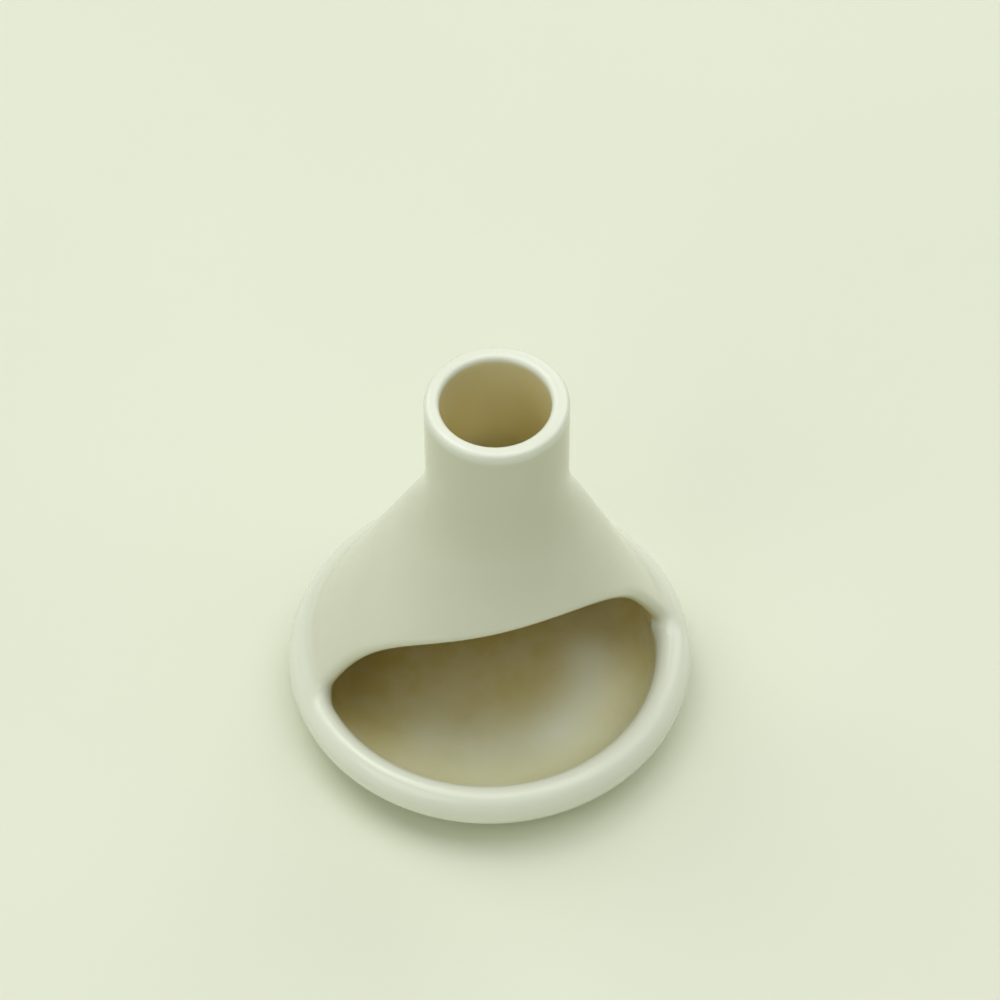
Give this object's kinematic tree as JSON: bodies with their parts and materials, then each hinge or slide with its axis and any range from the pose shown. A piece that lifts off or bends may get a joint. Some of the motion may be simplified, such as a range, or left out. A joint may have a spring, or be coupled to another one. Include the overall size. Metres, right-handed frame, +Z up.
{
  "type": "cone incense burner",
  "caption": "Round porcelain incense burner: a low bowl with a rolled rim, a conical hood with an arched mouth and a short chimney, holding a burning incense cone.",
  "frame": {"origin": "on the table under the middle of the round bowl", "axes": "+Z up, the mouth faces -Y, +X to the right of someone who looks into the mouth"},
  "size_m": [0.075, 0.075, 0.0805],
  "materials": {
    "porcelain": "gloss",
    "incense": "matte",
    "ash": "matte"
  },
  "bodies": {
    "burner": {"burner_body": "porcelain"},
    "incense": {"incense_cone": "incense", "ash_tip": "ash"}
  },
  "joints": [
    {"name": "cone_lift_out", "type": "slide", "parent": "burner", "child": "incense", "axis": [0, -0.9713, 0.238], "range_m": [0, 0.07]}
  ]
}
